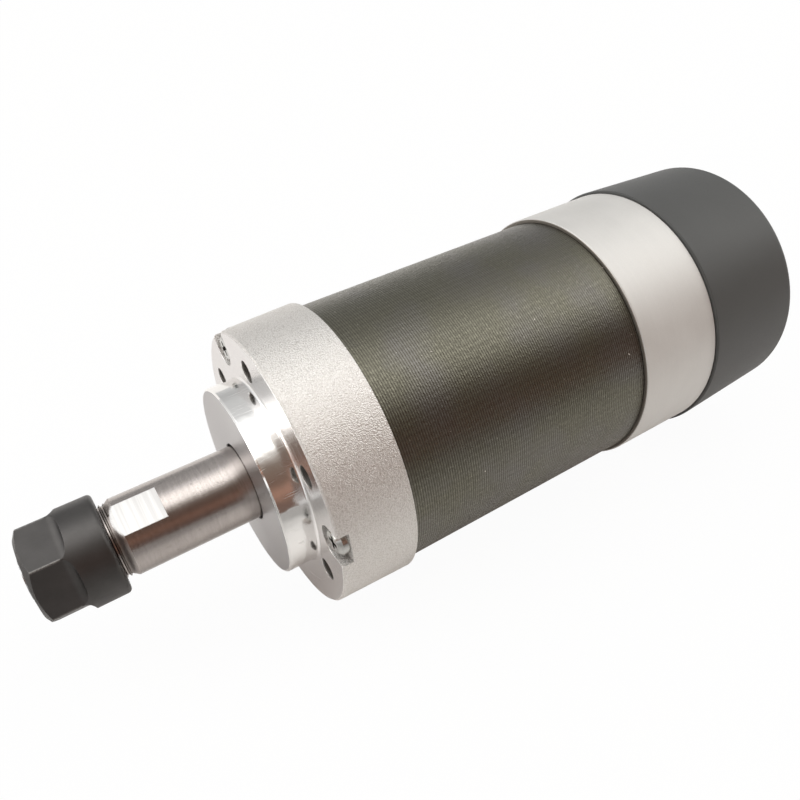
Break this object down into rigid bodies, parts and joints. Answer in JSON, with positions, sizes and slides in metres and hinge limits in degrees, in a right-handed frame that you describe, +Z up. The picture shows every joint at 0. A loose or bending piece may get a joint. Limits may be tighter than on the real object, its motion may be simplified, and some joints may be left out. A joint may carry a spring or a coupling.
{
  "type": "motor spindle",
  "caption": "Brushless motor spindle: a round motor with a piloted front flange whose ground shaft carries a collet and hexagonal nut to hold a cutting tool.",
  "frame": {"origin": "centre of the front cap's mounting face, on the spindle axis", "axes": "+X along the spindle axis from the tool towards the rear cover, +Z up when the motor lies on its side, Y completes the frame"},
  "size_m": [0.1644, 0.0574, 0.0574],
  "materials": {
    "cap_aluminium": "cast and blasted side, turned bright face",
    "rear_aluminium": "fine satin",
    "coated_laminations": "black-brown lacquered sheet edges",
    "cover_plastic": "smooth matt dark grey",
    "screw_steel": "zinc plated",
    "black_screw_steel": "black oxide",
    "insulator_plastic": "moulded natural plastic",
    "copper_wire": "enamelled copper wire",
    "grommet_rubber": "matt rubber",
    "board_laminate": "green circuit laminate",
    "sensor_resin": "moulded resin",
    "ground_steel": "cylindrically ground",
    "rotor_steel": "turned",
    "magnet": "epoxy coated sintered magnet",
    "balance_brass": "turned brass",
    "bearing_steel": "ground and polished",
    "cage_plastic": "glass filled plastic",
    "seal_rubber": "moulded rubber",
    "collet_steel": "ground spring steel",
    "black_nut_steel": "black oxide, satin"
  },
  "bodies": {
    "housing": {"front_cap": "cap_aluminium", "tie_screws": "screw_steel", "stator_laminations": "coated_laminations", "end_insulators": "insulator_plastic", "stator_windings": "copper_wire", "rear_cap": "rear_aluminium", "rear_cover": "cover_plastic", "cover_screws": "black_screw_steel", "cable_grommet": "grommet_rubber", "sensor_board": "board_laminate", "position_sensors": "sensor_resin", "board_screws": "screw_steel", "front_bearing_outer_rings": "bearing_steel", "front_bearing_seals": "seal_rubber", "front_circlip": "black_screw_steel", "rear_bearing_outer_ring": "bearing_steel", "rear_bearing_seals": "seal_rubber", "preload_washer": "bearing_steel"},
    "spindle": {"spindle_shaft": "ground_steel", "rotor_core": "rotor_steel", "rotor_magnets": "magnet", "magnet_band": "ground_steel", "balance_rings": "balance_brass", "sensor_magnet": "magnet", "front_bearing_inner_rings": "bearing_steel", "rear_bearing_inner_ring": "bearing_steel", "shaft_circlip": "black_screw_steel"},
    "front_cages": {"front_bearing_balls": "bearing_steel", "front_bearing_cages": "cage_plastic"},
    "rear_cage": {"rear_bearing_balls": "bearing_steel", "rear_bearing_cage": "cage_plastic"},
    "collet": {"collet": "collet_steel"},
    "nut": {"collet_nut": "black_nut_steel"}
  },
  "joints": [
    {"name": "spindle_spin", "type": "hinge", "parent": "housing", "child": "spindle", "pos_m": [0, 0, 0], "axis": [1, 0, 0], "continuous": true},
    {"name": "front_cages_spin", "type": "hinge", "parent": "housing", "child": "front_cages", "pos_m": [0, 0, 0], "axis": [1, 0, 0], "continuous": true},
    {"name": "rear_cage_spin", "type": "hinge", "parent": "housing", "child": "rear_cage", "pos_m": [0.085, 0, 0], "axis": [1, 0, 0], "continuous": true},
    {"name": "collet_slide", "type": "slide", "parent": "spindle", "child": "collet", "axis": [-1, 0, 0], "range_m": [0, 0.003]},
    {"name": "nut_turn", "type": "hinge", "parent": "collet", "child": "nut", "pos_m": [-0.038, 0, 0], "axis": [-1, 0, 0], "range_deg": [0, 1441]}
  ],
  "couplings": [
    {"joint": "front_cages_spin", "follows": "spindle_spin", "ratio": 0.40767},
    {"joint": "rear_cage_spin", "follows": "spindle_spin", "ratio": 0.36778},
    {"joint": "nut_turn", "follows": "collet_slide", "rad_per_m": 8377.6}
  ]
}
